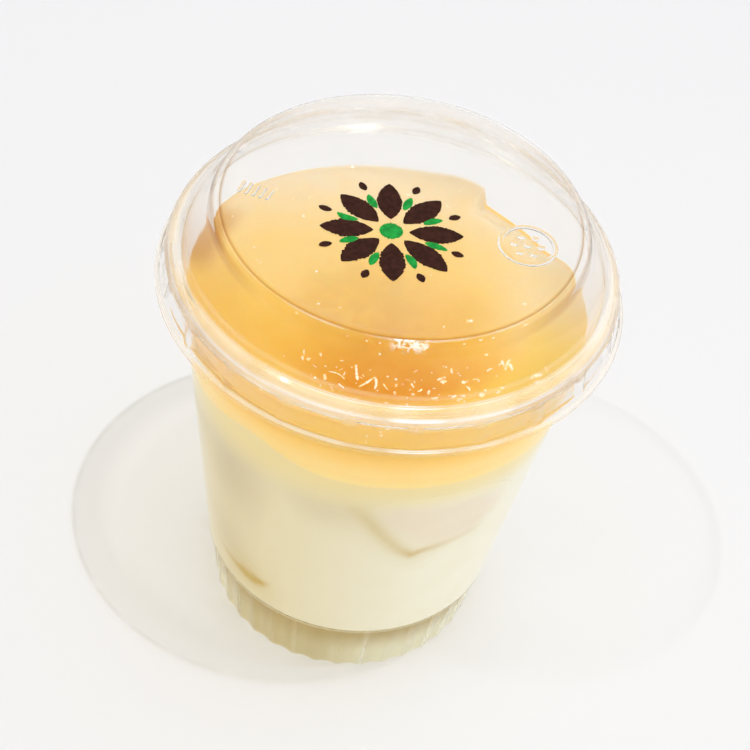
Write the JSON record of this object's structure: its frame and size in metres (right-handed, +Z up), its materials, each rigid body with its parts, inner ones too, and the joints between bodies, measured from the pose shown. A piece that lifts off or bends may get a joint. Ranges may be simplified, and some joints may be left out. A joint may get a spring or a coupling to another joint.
{
  "type": "fruit mousse cup",
  "caption": "Pale fruit mousse with a clear amber jelly layer, in a clear tapered cup with a fluted foot and a raised clear lid.",
  "frame": {"origin": "centre of the cup's foot on the surface it stands on", "axes": "+Z up along the cup's axis; -Y towards the side shown in the reference view"},
  "size_m": [0.0938, 0.0938, 0.1088],
  "materials": {
    "clear_plastic": "clear thin moulded plastic, glossy",
    "amber_jelly": "wet translucent jelly",
    "cream_mousse": "smooth dense cream, soft sheen",
    "pale_fruit": "moist fruit flesh",
    "brown_fruit": "moist fruit skin"
  },
  "bodies": {
    "root": {"cup": "clear_plastic", "lid": "clear_plastic", "jelly": "amber_jelly", "mousse": "cream_mousse", "fruit_wedge": "pale_fruit", "fruit_slice": "brown_fruit"}
  },
  "joints": []
}
